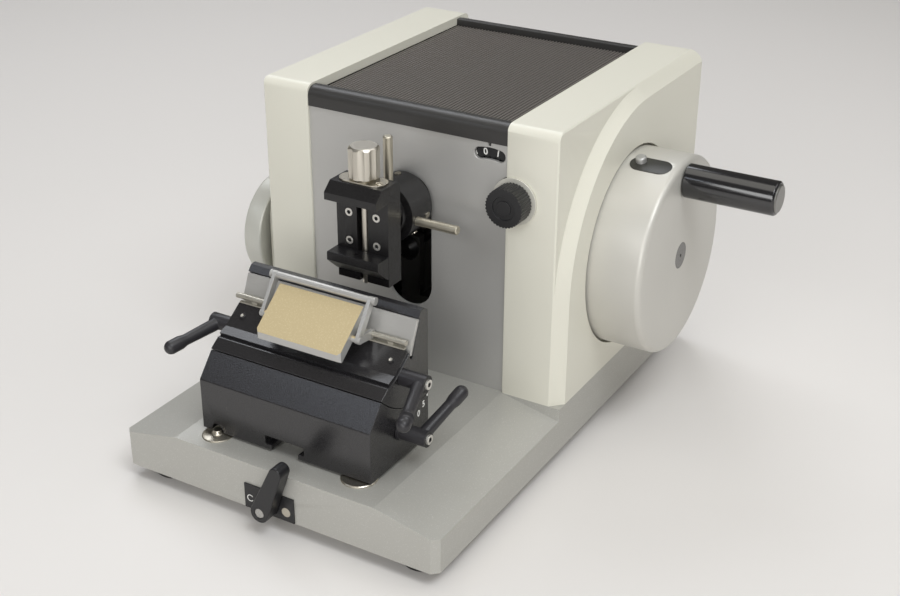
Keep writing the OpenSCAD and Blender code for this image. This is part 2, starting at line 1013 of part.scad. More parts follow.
module vice_knob() {
    knob_r = 12.1;
    flutes = 8;
    flute_r = 6;
    low_z = vice_high_z + 3.4;
    high_z = 269;
    color(nickel)
        difference() {
            union() {
                rod_z([low_z, high_z - 1.8], head_x, spindle_y, knob_r);
                translate([head_x, spindle_y, high_z - 1.8])
                    cylinder(h = 1.8, r1 = knob_r, r2 = knob_r - 1.8);
                rod_z([vice_high_z + 1.7, low_z], head_x, spindle_y, 7.5);
                rod_z([156, low_z], head_x, spindle_y, spindle_r);
            }
            for (i = [0 : flutes - 1])
                rotate_about_spindle((i + 0.5) * 360 / flutes)
                    translate([knob_r + flute_r - 1.1, 0, low_z - over])
                        cylinder(h = 40, r = flute_r);
        }
}

module rotate_about_spindle(angle) {
    translate([head_x, spindle_y, 0])
        rotate(angle) children();
}

module vice_jaw() {
    back_y = vice_face_y - gap;
    color(black_metal)
        difference() {
            union() {
                along_x([vice_x0, vice_x1])
                    polygon([
                        [back_y, jaw_top], [-78.9, jaw_top], [-79.6, jaw_top - 0.7],
                        [-79.6, 177.2], [-66.6, 165.6], [back_y, 165.6]
                    ]);
                block([head_x - channel_half_w + gap, head_x + channel_half_w - gap],
                      [back_y, -54], [167, 182.5]);
            }
            rod_z([160, 190], head_x, spindle_y, spindle_r + fit);
            rod_z([181, 190], head_x - 1, -72, 1.6);
        }
}

// ---- Blade holder ----

module holder_block() {
    neck_half = 12.4;
    head_half = 18;
    color(black_metal)
        difference() {
            along_x([holder_x0, holder_x1])
                polygon([
                    [holder_front_y, holder_low_z], [holder_front_y, 96.5],
                    [-152, 115.7], [holder_back_y, 115.7],
                    [holder_back_y, 66], [-100, holder_low_z]
                ]);
            rod_x([holder_x0 - over, holder_x1 + over], edge_y, edge_z, cradle_r);
            block([holder_mid_x - head_half, holder_mid_x + head_half], [-180, -80],
                  [tee_head_z0, tee_head_z1]);
            block([holder_mid_x - neck_half, holder_mid_x + neck_half], [-180, -80],
                  [holder_low_z - over, tee_head_z0 + over]);
            // Notch that passes over the raised centre of the left locating disc
            along_y([-180, -144])
                translate([left_disc_x - 1, holder_low_z])
                    polygon([[-6, -over], [-6, 0], [-3.2, 6.2], [3.2, 6.2], [6, 0], [6, -over]]);
            rod_x([holder_x1 - 20, holder_x1 + over], lock_pin_y, lock_pin_z, lever_pin_r + fit);
        }
}

module holder_segment() {
    color(black_metal)
        difference() {
            intersection() {
                rod_x([holder_x0, holder_x1], edge_y, edge_z, cradle_r - gap);
                along_x([holder_x0 - over, holder_x1 + over])
                    polygon([
                        [-160, 80], [-160, 111], [-143.6, 122.2], [-140.1, 122.3],
                        [-132.2, 125], [-113.7, 137.6], [-113.7, 133.2], [-110.2, 131.7],
                        [-105.85, 145.1], [-99.3, 160.1], [-101.9, 161.3], [-97.6, 166.1],
                        [-93, 166.4], [holder_back_y, 163.2], [holder_back_y, 80]
                    ]);
            }
            for (x = [[holder_x0 - over, holder_x0 + 20], [holder_x1 - 20, holder_x1 + over]])
                rod_x(x, segment_pin_y, segment_pin_z, lever_pin_r + fit);
        }
}

module front_plate() {
    color(black_metal)
        difference() {
            along_x([holder_x0, holder_x1 - 1.2])
                polygon([
                    [-140.9, 124.7], [-133, 127.4], [-115.1, 139.7],
                    [-113.7, 137.65], [-132.2, 125.05], [-140.1, 122.35]
                ]);
            for (x = [-68.5, 68.5])
                translate([holder_mid_x + x, -123.7, 133.8])
                    rotate([34.5, 0, 0]) cylinder(h = 6, r = 1.6, center = true);
        }
}

module holder_screws() {
    color(nickel)
        for (x = [-68.5, 68.5])
            translate([holder_mid_x + x, -123.7, 133.85])
                rotate([34.5, 0, 0]) {
                    socket_head(2.7, 1.5);
                    translate([0, 0, -2]) cylinder(h = 2.2, r = 1.5);
                }
}

module pressure_plate() {
    color(anodised)
        along_x([holder_x0 + 0.4, holder_x1 - 0.4])
            polygon([
                [-102.3, 160.7], [-99.75, 159.6], [-106.2, 144.9], [-110.4, 134],
                [-112.8, 134.8], [-108.75, 146.1]
            ]);
}

module guard_axle() {
    color(steel) {
        rod_x([holder_x0 - 2.6, holder_x1 - 3], axle_y, axle_z, axle_r);
        // Stands on the top edge of the front plate, and the flat strip that they carry
        for (x = [holder_x0 + 12, holder_x1 - 19])
            along_x([x, x + 5])
                polygon([[-114.7, 139.15], [-113.72, 137.7], [-112.1, 137.7], [-112.1, axle_z],
                         [-114.7, axle_z]]);
        block([holder_x0 + 1, holder_x1 - 4], [-115.6, -112.1], [139.9, 141.2]);
    }
}

guard_mid_x = -1;
guard_arm_in = 41.8;
guard_arm_w = 3;
flap_half_w = 38.2;

// The guard's pieces come in pairs, mirrored about the guard's own middle line
module guard_pair() {
    translate([guard_mid_x, 0, 0]) mirrored_x() children();
}

module guard_frame() {
    arm_x = [guard_arm_in, guard_arm_in + guard_arm_w];
    rod_half = arm_x[1] + 3;
    color(steel)
        difference() {
            union() {
                guard_pair() {
                    along_x(arm_x) {
                        bar_between([guard_foot_y, guard_foot_z], [guard_rod_y, guard_rod_z], 3, 3);
                        bar_between([guard_foot_y, guard_foot_z], [axle_y, axle_z], 3, 3.4);
                    }
                    // Rivet head of the foot, and the rod's end collar
                    rod_x([arm_x[1], arm_x[1] + 1], guard_foot_y, guard_foot_z, 2.6);
                    rod_x([arm_x[1] + 1.6, arm_x[1] + 2.8], guard_rod_y, guard_rod_z,
                          guard_rod_r + 0.6);
                }
                rod_x([guard_mid_x - rod_half, guard_mid_x + rod_half], guard_rod_y, guard_rod_z,
                      guard_rod_r);
            }
            guard_pair()
                rod_x([arm_x[0] - over, arm_x[1] + over], axle_y, axle_z, axle_r + fit);
        }
}

module guard_flap() {
    corner = 2.2;
    front = -148.6;
    color([0.83, 0.76, 0.59]) {
        intersection() {
            along_x([guard_mid_x - flap_half_w, guard_mid_x + flap_half_w])
                polygon([
                    [-115.5, 167], [front, 140.8], [front, 135.4], [front + 3.2, 133.6],
                    [-112.8, 158.9]
                ]);
            translate([guard_mid_x, 0, 120])
                linear_extrude(60)
                    polygon([
                        [-flap_half_w - over, -110], [-flap_half_w - over, front + corner + over],
                        [-flap_half_w + corner, front - 0.01], [flap_half_w - corner, front - 0.01],
                        [flap_half_w + over, front + corner + over], [flap_half_w + over, -110]
                    ]);
        }
        guard_pair()
            rod_x([flap_half_w - over, guard_arm_in], guard_foot_y, guard_foot_z, 2.4);
    }
}

// A clamping lever: hub along X from the origin, arm leaving its outer end, ball at the tip.
// reach is the vector from the arm's root on the hub to the tip's centre.
module clamping_lever(hub_len, reach) {
    hub_r = 6.5;
    root_r = 5.2;
    neck_r = 4.5;
    tip_r = 5.5;
    root_x = hub_len - hub_r;
    length = norm(reach);
    polar = acos(reach.z / length);
    turn = atan2(reach.y, reach.x);
    rod_x([0, hub_len], 0, 0, hub_r);
    translate([root_x, 0, 0]) {
        rotate([0, polar, turn]) {
            cylinder(h = length * 0.72, r1 = root_r, r2 = neck_r);
            translate([0, 0, length * 0.72]) cylinder(h = length * 0.1, r1 = neck_r, r2 = tip_r);
            translate([0, 0, length * 0.82]) cylinder(h = length * 0.18, r = tip_r);
            translate([0, 0, length]) sphere(tip_r);
        }
    }
    rod_x([-18, 0], 0, 0, lever_pin_r);
    translate([hub_len - 1, 0, 0])
        rotate([0, 90, 0]) socket_head(3.9, 2.6);
}

module blade_lever() {
    color(black_plastic)
        translate([holder_x0 - gap, segment_pin_y, segment_pin_z])
            mirror([1, 0, 0])
                clamping_lever(19, [13, -44, -6.2]);
}

module angle_lever() {
    color(black_plastic)
        translate([holder_x1 + gap, segment_pin_y, segment_pin_z])
            clamping_lever(21.5, [12.5, -42.3, -10.4]);
}

module block_lever() {
    color(black_plastic)
        translate([holder_x1 + gap, lock_pin_y, lock_pin_z]) {
            clamping_lever(24.5, [13, 36.4, 23.6]);
            rod_x([0, 2.6], 0, 0, 7.6);
        }
}

// ---- Section thickness dial ----

module thickness_dial() {
    face_y = 5.9;
    color(black_plastic)
        difference() {
            rod_y([face_y, 11.9], dial_x, dial_z, dial_r);
            along_y([face_y - over, 10])
                translate([dial_x, dial_z])
                    gear_outline(dial_teeth, dial_gear_r - 0.9, dial_gear_r + 1.6, knob_angle);
            rod_y([9, 13], dial_x, dial_z, 4 + fit);
        }
}

module thickness_knob() {
    knob_r = 16;
    flutes = 36;
    color(black_plastic)
        union() {
            difference() {
                along_y([-18.5, -2.6])
                    translate([knob_x, knob_z])
                        polygon([
                            for (i = [0 : 2 * flutes - 1])
                                let (r = knob_r - (i % 2 == 0 ? 0 : 0.9), a = 180 * i / flutes)
                                    [r * cos(a), r * sin(a)]
                        ]);
                rod_y([-20, -17.3], knob_x, knob_z, 9.5);
            }
            rod_y([-18.2, -17], knob_x, knob_z, 6);
            rod_y([-2.6, 6.4], knob_x, knob_z, 4);
            along_y([6.4, 9.6])
                translate([knob_x, knob_z])
                    gear_outline(pinion_teeth, pinion_r - 1.5, pinion_r + 0.7, knob_angle);
        }
}

base_plate();
feet();
guide_rails();
locating_discs();
clamp_plate();
right_cover();
left_cover();
front_panel();
rear_panel();
top_plate();
top_mat();
top_trims();
side_frames();
shaft_housing();
bearings();
inner_brackets();
knob_ring();
panel_screws();
handwheel();
hub_cap();
drive_shaft();
crank_disc();
lock_plate();
handle_spindle();
handle_grip();
grip_cap();
wheel_lock_pin();
feed_carriage();
guide_columns();
feed_spindle();
ratchet_pawl();
coarse_wheel();
lift_block();
specimen_arm();
ball_housing();
housing_screws();
pan_lock_pin();
tilt_lock_pin();
pan_ring();
vice_ball();
vice_body();
vice_screws();
vice_top_plate();
vice_knob();
vice_jaw();
holder_block();
holder_segment();
front_plate();
holder_screws();
guard_axle();
pressure_plate();
guard_frame();
guard_flap();
blade_lever();
angle_lever();
block_lever();
front_clamp_lever();
clamp_shaft();
thickness_dial();
thickness_knob();
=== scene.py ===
# %% [markdown]
# # A rotary microtome for the picture
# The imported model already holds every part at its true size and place. This file gives the parts
# their finish, rounds their edges, adds the small things that only the eye needs, and sets up the
# room, the lamps and the camera.

import json
import math

import bmesh
import bpy
from mathutils import Matrix, Vector


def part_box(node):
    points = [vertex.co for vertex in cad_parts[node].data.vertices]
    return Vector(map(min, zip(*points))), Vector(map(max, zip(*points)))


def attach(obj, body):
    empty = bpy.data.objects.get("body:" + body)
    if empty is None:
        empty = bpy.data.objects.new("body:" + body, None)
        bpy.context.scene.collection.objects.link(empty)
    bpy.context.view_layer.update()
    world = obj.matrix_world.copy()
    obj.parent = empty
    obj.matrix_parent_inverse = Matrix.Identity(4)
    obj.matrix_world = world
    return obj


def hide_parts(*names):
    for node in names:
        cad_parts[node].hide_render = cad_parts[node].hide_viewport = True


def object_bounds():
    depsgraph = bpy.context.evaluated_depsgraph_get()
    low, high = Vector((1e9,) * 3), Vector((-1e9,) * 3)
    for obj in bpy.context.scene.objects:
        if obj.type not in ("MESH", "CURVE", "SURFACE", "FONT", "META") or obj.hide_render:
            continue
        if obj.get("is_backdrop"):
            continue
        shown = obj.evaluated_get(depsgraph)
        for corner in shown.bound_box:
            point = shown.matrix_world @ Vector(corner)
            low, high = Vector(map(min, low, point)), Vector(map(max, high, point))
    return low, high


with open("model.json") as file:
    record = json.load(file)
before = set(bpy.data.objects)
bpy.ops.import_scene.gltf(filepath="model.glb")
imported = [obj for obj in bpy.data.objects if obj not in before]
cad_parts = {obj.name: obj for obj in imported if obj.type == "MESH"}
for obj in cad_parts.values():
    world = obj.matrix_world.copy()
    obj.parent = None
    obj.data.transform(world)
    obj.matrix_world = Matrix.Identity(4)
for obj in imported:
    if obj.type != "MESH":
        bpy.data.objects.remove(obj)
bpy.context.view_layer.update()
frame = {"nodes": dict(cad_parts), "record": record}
BODIES = frame["record"]["behaviour"]["bodies"]
BODY_OF = {node: body for body, nodes in BODIES.items() for node in nodes}

# %% [markdown]
# ## Units and colours
# The model is in metres, but sizes read better in millimetres. Colours are picked the way a
# screen shows them, 0 to 255, and have to be made linear before a shader can use them.

# %% Units and colours
MM = 0.001


def mm(x, y, z):
    return Vector((x, y, z)) * MM


def screen(r, g, b):
    def linear(c):
        c = c / 255
        return c / 12.92 if c <= 0.04045 else ((c + 0.055) / 1.055) ** 2.4

    return (linear(r), linear(g), linear(b), 1.0)


print("a mid grey is", round(screen(128, 128, 128)[0], 3), "in linear light")

# %% [markdown]
# ## Shared surface effects
# A surface looks real when it isn't perfectly even. An image could bring the unevenness, but a
# pattern worked out from the place on the object needs no image and never shows a seam. Each
# effect is a node group with named inputs, so that any material can use it: a fine grain, the
# rings a lathe leaves, and specks. First come the small helpers that all three share.


# %% Helpers for node groups
def new_group(name, inputs, outputs):
    """An empty node group, with the sockets it takes and the sockets it gives."""
    group = bpy.data.node_groups.new(name, "ShaderNodeTree")
    for label, kind, value in inputs:
        sock = group.interface.new_socket(name=label, in_out="INPUT", socket_type=kind)
        sock.default_value = value
    for label, kind in outputs:
        group.interface.new_socket(name=label, in_out="OUTPUT", socket_type=kind)
    start = group.nodes.new("NodeGroupInput")
    end = group.nodes.new("NodeGroupOutput")
    return group, start.outputs, end.inputs


def add(group, kind, **settings):
    """A new node of this kind, with its settings filled in."""
    node = group.nodes.new(kind)
    for key, value in settings.items():
        setattr(node, key, value)
    return node


def wire(group, a, b):
    group.links.new(a, b)


def maths(group, operation, a, b):
    """One sum. a and b are numbers or the sockets of other nodes."""
    node = add(group, "ShaderNodeMath", operation=operation)
    for sock, value in zip(node.inputs, (a, b)):
        if isinstance(value, (int, float)):
            sock.default_value = value
        else:
            wire(group, value, sock)
    return node.outputs[0]


RELIEF_DEPTH = 0.1 * MM


def relief(group, height, depth):
    """Turns a height into slanted normals, so that light falls on it as on a real relief."""
    bump = add(group, "ShaderNodeBump")
    bump.inputs["Distance"].default_value = RELIEF_DEPTH
    wire(group, height, bump.inputs["Height"])
    wire(group, depth, bump.inputs["Strength"])
    return bump.outputs[0]


print("helpers ready")

# %% [markdown]
# The grain is a noise whose size is given in millimetres. The turned rings are the same noise,
# but it only changes with the distance from an axis.


# %% Grain and turned rings
def make_grain():
    """A fine grain of the given size in millimetres, stretched along X, Y or Z if asked."""
    group, given, result = new_group(
        "grain",
        [
            ("Size", "NodeSocketFloat", 1.0),
            ("Stretch", "NodeSocketVector", (1, 1, 1)),
            ("Depth", "NodeSocketFloat", 0.2),
        ],
        [("Value", "NodeSocketFloat"), ("Normal", "NodeSocketVector")],
    )
    place = add(group, "ShaderNodeTexCoord")
    scale = maths(group, "DIVIDE", 1000.0, given["Size"])
    stretch = add(group, "ShaderNodeVectorMath", operation="DIVIDE")
    wire(group, place.outputs["Object"], stretch.inputs[0])
    wire(group, given["Stretch"], stretch.inputs[1])
    noise = add(group, "ShaderNodeTexNoise")
    noise.inputs["Detail"].default_value = 3
    wire(group, stretch.outputs[0], noise.inputs["Vector"])
    wire(group, scale, noise.inputs["Scale"])
    wire(group, noise.outputs[0], result["Value"])
    wire(group, relief(group, noise.outputs[0], given["Depth"]), result["Normal"])
    return group


def make_turned():
    """Rings round an axis, as a lathe leaves them."""
    group, given, result = new_group(
        "turned",
        [
            ("Centre", "NodeSocketVector", (0, 0, 0)),
            ("Axis", "NodeSocketVector", (0, 0, 1)),
            ("Pitch", "NodeSocketFloat", 0.5),
            ("Depth", "NodeSocketFloat", 0.2),
        ],
        [("Value", "NodeSocketFloat"), ("Normal", "NodeSocketVector")],
    )
    place = add(group, "ShaderNodeTexCoord")
    away = add(group, "ShaderNodeVectorMath", operation="SUBTRACT")
    wire(group, place.outputs["Object"], away.inputs[0])
    wire(group, given["Centre"], away.inputs[1])
    across = add(group, "ShaderNodeVectorMath", operation="CROSS_PRODUCT")
    wire(group, away.outputs[0], across.inputs[0])
    wire(group, given["Axis"], across.inputs[1])
    radius = add(group, "ShaderNodeVectorMath", operation="LENGTH")
    wire(group, across.outputs[0], radius.inputs[0])
    across_mm = maths(group, "MULTIPLY", radius.outputs["Value"], 1000.0)
    steps = maths(group, "DIVIDE", across_mm, given["Pitch"])
    noise = add(group, "ShaderNodeTexNoise", noise_dimensions="1D")
    noise.inputs["Scale"].default_value = 1.0
    noise.inputs["Detail"].default_value = 2
    wire(group, steps, noise.inputs["W"])
    wire(group, noise.outputs[0], result["Value"])
    wire(group, relief(group, noise.outputs[0], given["Depth"]), result["Normal"])
    return group


GRAIN, TURNED = make_grain(), make_turned()
print("node groups:", GRAIN.name, TURNED.name)

# %% [markdown]
# Specks are cells of a Voronoi pattern. Each cell has a random colour, and only the cells whose
# colour falls under the amount asked for become specks.


# %% Specks
def make_specks():
    """Bright specks: 1 in a speck and 0 between them."""
    group, given, result = new_group(
        "specks",
        [("Size", "NodeSocketFloat", 0.6), ("Amount", "NodeSocketFloat", 0.3)],
        [("Mask", "NodeSocketFloat")],
    )
    place = add(group, "ShaderNodeTexCoord")
    cells = add(group, "ShaderNodeTexVoronoi")
    wire(group, place.outputs["Object"], cells.inputs["Vector"])
    wire(group, maths(group, "DIVIDE", 1000.0, given["Size"]), cells.inputs["Scale"])
    pick = add(group, "ShaderNodeSeparateColor")
    wire(group, cells.outputs["Color"], pick.inputs[0])
    wire(group, maths(group, "LESS_THAN", pick.outputs[0], given["Amount"]), result["Mask"])
    return group


SPECKS = make_specks()
print("node group:", SPECKS.name)

# %% [markdown]
# ## Materials
# One function makes them all. The grain varies the colour and the roughness a little as well as
# the relief, because dirt, polish and light follow the same unevenness on a real surface.


# %% One function for every finish
def use(tree, group, **values):
    """Places a node group in a material, with this material's own values."""
    node = tree.nodes.new("ShaderNodeGroup")
    node.node_tree = group
    for label, value in values.items():
        node.inputs[label].default_value = value
    return node


# A Mix node has sockets for every kind of data, several with one name. These are the colours'.
MIX_FACTOR, MIX_A, MIX_B, MIX_RESULT = 0, 6, 7, 2


def mixed(tree, factor, a, b):
    """The colour a where factor is 0 and b where it is 1. Either may be a colour or a socket."""
    mix = tree.nodes.new("ShaderNodeMix")
    mix.data_type = "RGBA"
    for sock, value in ((mix.inputs[MIX_A], a), (mix.inputs[MIX_B], b)):
        if isinstance(value, tuple):
            sock.default_value = value
        else:
            tree.links.new(value, sock)
    tree.links.new(factor, mix.inputs[MIX_FACTOR])
    return mix.outputs[MIX_RESULT]


def ranged(tree, value, low, high):
    """Spreads the middle of a noise, from 0.3 to 0.7, over the range from low to high."""
    node = tree.nodes.new("ShaderNodeMapRange")
    node.inputs["From Min"].default_value = 0.3
    node.inputs["From Max"].default_value = 0.7
    node.inputs["To Min"].default_value = low
    node.inputs["To Max"].default_value = high
    tree.links.new(value, node.inputs["Value"])
    return node.outputs[0]


def darker(colour, by):
    return tuple(c * (1 - by) for c in colour[:3]) + (1.0,)


def material(name, colour, rough, metal=0.0, grain=0.5, stretch=(1, 1, 1), depth=0.15,
             vary=0.06, coat=0.0, specular=0.5, specks=None, turned=None):
    mat = bpy.data.materials.new(name)
    mat.use_nodes = True
    tree = mat.node_tree
    shader = tree.nodes["Principled BSDF"]
    shader.inputs["Metallic"].default_value = metal
    shader.inputs["Specular IOR Level"].default_value = specular
    shader.inputs["Coat Weight"].default_value = coat
    shader.inputs["Coat Roughness"].default_value = 0.12
    if turned:
        effect = use(tree, TURNED, Centre=turned[0], Axis=turned[1], Pitch=grain, Depth=depth)
    else:
        effect = use(tree, GRAIN, Size=grain, Stretch=stretch, Depth=depth)
    value = effect.outputs["Value"]
    tone = mixed(tree, ranged(tree, value, 0, 1), darker(colour, vary), colour)
    if specks:
        size, amount, light = specks
        dots = use(tree, SPECKS, Size=size, Amount=amount)
        tone = mixed(tree, dots.outputs["Mask"], tone, light)
    tree.links.new(tone, shader.inputs["Base Color"])
    roughness = ranged(tree, value, rough * 0.88, min(rough * 1.12, 1))
    tree.links.new(roughness, shader.inputs["Roughness"])
    tree.links.new(effect.outputs["Normal"], shader.inputs["Normal"])
    return mat


print("one function makes every finish")

# %% [markdown]
# ## Paints
# The covers are enamelled in ivory, the base and the front panel in a metallic grey, and both
# wheels in a pale grey. Enamel could be a clear layer over a colour, but this one is nearly
# matt, so one layer with a faint grain is enough. The wheels were turned before they were
# painted, and the rings still show a little.

# %% Paints
WHEEL_AXLE, HANDLE_AXLE = mm(0, 123.5, 150.5), mm(0, 123.5, 217)
COARSE_AXLE = mm(0, 48, 129)
ALONG_X, ALONG_Z = (1, 0, 0), (0, 0, 1)
M = {
    "ivory": material("ivory_paint", screen(222, 220, 207), 0.42, grain=0.9, depth=0.05,
                      vary=0.015, coat=0.05),
    "panel": material("panel_metal", screen(192, 191, 188), 0.42, metal=0.45, grain=0.35,
                      depth=0.1, vary=0.04),
    "base": material("base_metal", screen(182, 181, 175), 0.46, metal=0.3, grain=0.45,
                     depth=0.12, vary=0.04, specks=(0.5, 0.05, screen(194, 193, 188))),
    "wheel": material("wheel_paint", screen(204, 202, 195), 0.4, metal=0.25, grain=0.5,
                      depth=0.1, vary=0.03, turned=(WHEEL_AXLE, ALONG_X)),
    "coarse": material("coarse_wheel_paint", screen(202, 202, 194), 0.4, metal=0.25, grain=0.5,
                       depth=0.1, vary=0.03, turned=(COARSE_AXLE, ALONG_X)),
}
print(len(M), "paints")

# %% [markdown]
# ## Blacks and rubber
# The blade holder and the specimen vice are anodised, the levers and knobs are moulded, and the
# grip is polished. They are almost one colour, so what tells them apart is how rough they are
# and how strongly they mirror the lamps.

# %% Blacks and rubber
M.update({
    "mat": material("ribbed_rubber", screen(104, 99, 94), 0.45, grain=0.4, depth=0.2, vary=0.1,
                    specular=0.8),
    # Painted shade: the same rubber as the ribs, made darker for the shaded grooves between them.
    "groove_shade": material("painted_groove_shade", screen(26, 25, 24), 0.7, grain=0.4, depth=0.2, vary=0.1),
    "rubber": material("foot_rubber", screen(38, 37, 37), 0.7, grain=0.5, depth=0.4, vary=0.15),
    "trim": material("trim_metal", screen(64, 63, 62), 0.4, metal=0.3, grain=0.4,
                     stretch=(20, 1, 1), depth=0.1, vary=0.1),
    "black": material("black_anodised", screen(33, 32, 34), 0.27, grain=0.3, depth=0.06,
                      vary=0.1, specular=0.8),
    "black_fine": material("vice_anodised", screen(26, 25, 26), 0.28, grain=0.3, depth=0.06,
                           vary=0.1, specular=0.5),
    "lever": material("lever_plastic", screen(44, 43, 46), 0.38, grain=0.35, depth=0.2, vary=0.1),
    "plastic": material("black_plastic", screen(28, 28, 30), 0.34, grain=0.35, depth=0.25,
                        vary=0.12),
    "gloss": material("gloss_black", screen(22, 22, 25), 0.16, grain=2.5, depth=0.02, vary=0.05,
                      specular=1.0),
    "satin_black": material("satin_black", screen(48, 48, 44), 0.3, grain=0.4, depth=0.05,
                            vary=0.08),
})
print(len(M), "materials so far")

# %% [markdown]
# ## Bare metal
# Screws, pins, rods, plates and knobs are steel or nickel. Drawn and ground pieces have their
# grain stretched along one direction, and turned ones have rings round their own axis.

# %% Bare metal
VICE_AXLE = mm(3, -60, 0)
M.update({
    "screw": material("screw_steel", screen(222, 220, 214), 0.3, metal=0.8, grain=0.3,
                      depth=0.08, vary=0.05),
    "satin": material("satin_metal", screen(186, 186, 184), 0.4, metal=0.6, grain=0.3,
                      depth=0.1, vary=0.05),
    "ring": material("ring_metal", screen(212, 210, 200), 0.35, metal=0.3, grain=0.3,
                     depth=0.05, vary=0.03),
    "steel": material("ground_steel", screen(186, 185, 182), 0.28, metal=1.0, grain=0.3,
                      stretch=(1, 1, 14), depth=0.15, vary=0.08),
    "rod": material("drawn_steel", screen(190, 186, 174), 0.36, metal=0.8, grain=0.3,
                    stretch=(40, 1, 1), depth=0.03, vary=0.05),
    "bright": material("bright_plate", screen(192, 191, 188), 0.42, metal=0.6, grain=0.25,
                       stretch=(30, 1, 1), depth=0.08, vary=0.05),
    "nickel": material("satin_nickel", screen(206, 200, 186), 0.3, metal=1.0, grain=0.3,
                       depth=0.08, vary=0.05),
    "pin": material("pin_steel", screen(196, 190, 174), 0.38, metal=0.9, grain=0.4,
                    depth=0.03, vary=0.05),
    "knob": material("turned_nickel", screen(210, 205, 194), 0.33, metal=1.0, grain=0.4,
                     depth=0.08, vary=0.06, turned=(VICE_AXLE, ALONG_Z)),
    "cap": material("turned_cap", screen(120, 119, 117), 0.3, metal=0.8, grain=0.3,
                    depth=0.15, vary=0.1, turned=(WHEEL_AXLE, ALONG_X)),
    "grip_cap": material("grip_cap_metal", screen(140, 139, 136), 0.32, metal=0.8, grain=0.3,
                         depth=0.15, vary=0.1, turned=(HANDLE_AXLE, ALONG_X)),
    "bronze": material("bearing_bronze", screen(176, 140, 82), 0.35, metal=1.0, grain=0.4,
                       depth=0.1, vary=0.1),
    "inner": material("inner_aluminium", screen(170, 169, 165), 0.4, metal=0.9, grain=0.3,
                      depth=0.15, vary=0.06),
})
print(len(M), "materials so far")

# %% [markdown]
# ## The guard's gold, and ink
# The flap of the blade guard is a soft gold with faint lighter specks, which cells of a Voronoi
# pattern give at no cost in geometry. White ink is for numbers and marks. A dark grey is painted shade
# for the insides of screw sockets.

# %% Gold, white ink and painted socket shade
M.update({
    "gold": material("speckled_gold", screen(199, 182, 143), 0.5, metal=0.2, grain=0.7,
                     depth=0.15, vary=0.05, specks=(0.55, 0.12, screen(206, 191, 153))),
    "white": material("white_ink", screen(244, 244, 240), 0.6, grain=0.3, depth=0.05, vary=0.04),
    # Painted shade: a dark grey for the hollows of screw sockets, where shade falls.
    "socket_shade": material("painted_socket_shade", screen(40, 40, 40), 0.6, grain=0.3, depth=0.05, vary=0.04),
})
print(len(M), "materials in all")

# %% [markdown]
# ## Rounded copies of the parts
# No real edge is perfectly sharp, and the thin highlight along an edge is what makes metal look
# solid. A part's own mesh is left alone: a copy has its flat triangles merged back into faces,
# gets a bevel, and stands in for the part in the picture.


# %% Helpers for rounded copies
def show_smooth(mesh, angle=30):
    """Smooth shading, but edges steeper than angle stay crisp."""
    mesh.shade_smooth()
    mesh.set_sharp_from_angle(angle=math.radians(angle))


WELD = 0.002 * MM


def clean_mesh(mesh):
    """Joins loose triangles, and merges those that lie in one plane into one face."""
    work = bmesh.new()
    work.from_mesh(mesh)
    bmesh.ops.remove_doubles(work, verts=work.verts, dist=WELD)
    bmesh.ops.dissolve_limit(work, angle_limit=math.radians(0.6), verts=work.verts, edges=work.edges)
    work.to_mesh(mesh)
    work.free()


def put(name, mesh, mats, body, replaces=()):
    """Shows a mesh as a piece of this body, in the place of the nodes that it replaces."""
    obj = bpy.data.objects.new(name, mesh)
    bpy.context.scene.collection.objects.link(obj)
    obj.data.materials.clear()
    for mat in mats:
        obj.data.materials.append(mat)
    if replaces:
        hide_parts(*replaces)
    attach(obj, body)
    return obj


def bevel(obj, width, segments=2, angle=32):
    mod = obj.modifiers.new("edges", "BEVEL")
    mod.width = width * MM
    mod.segments = segments
    mod.limit_method = "ANGLE"
    mod.angle_limit = math.radians(angle)
    mod.harden_normals = True
    mod.miter_outer = "MITER_ARC"
    return mod


def rounded(node, mat, width, segments=2, angle=32):
    """A copy of a node with edges rounded by width millimetres."""
    mesh = frame["nodes"][node].data.copy()
    mesh.name = node + "_shown"
    clean_mesh(mesh)
    show_smooth(mesh)
    obj = put(node + "_shown", mesh, [M[mat]], BODY_OF[node], [node])
    if width:
        bevel(obj, width, segments, angle)
    return obj


print("flat faces are merged before an edge is rounded")

# %% [markdown]
# Each line below names a node, its finish, how far its edges are rounded in millimetres, and in
# how many steps. Castings and mouldings have the roundest edges, and turned pieces the sharpest.

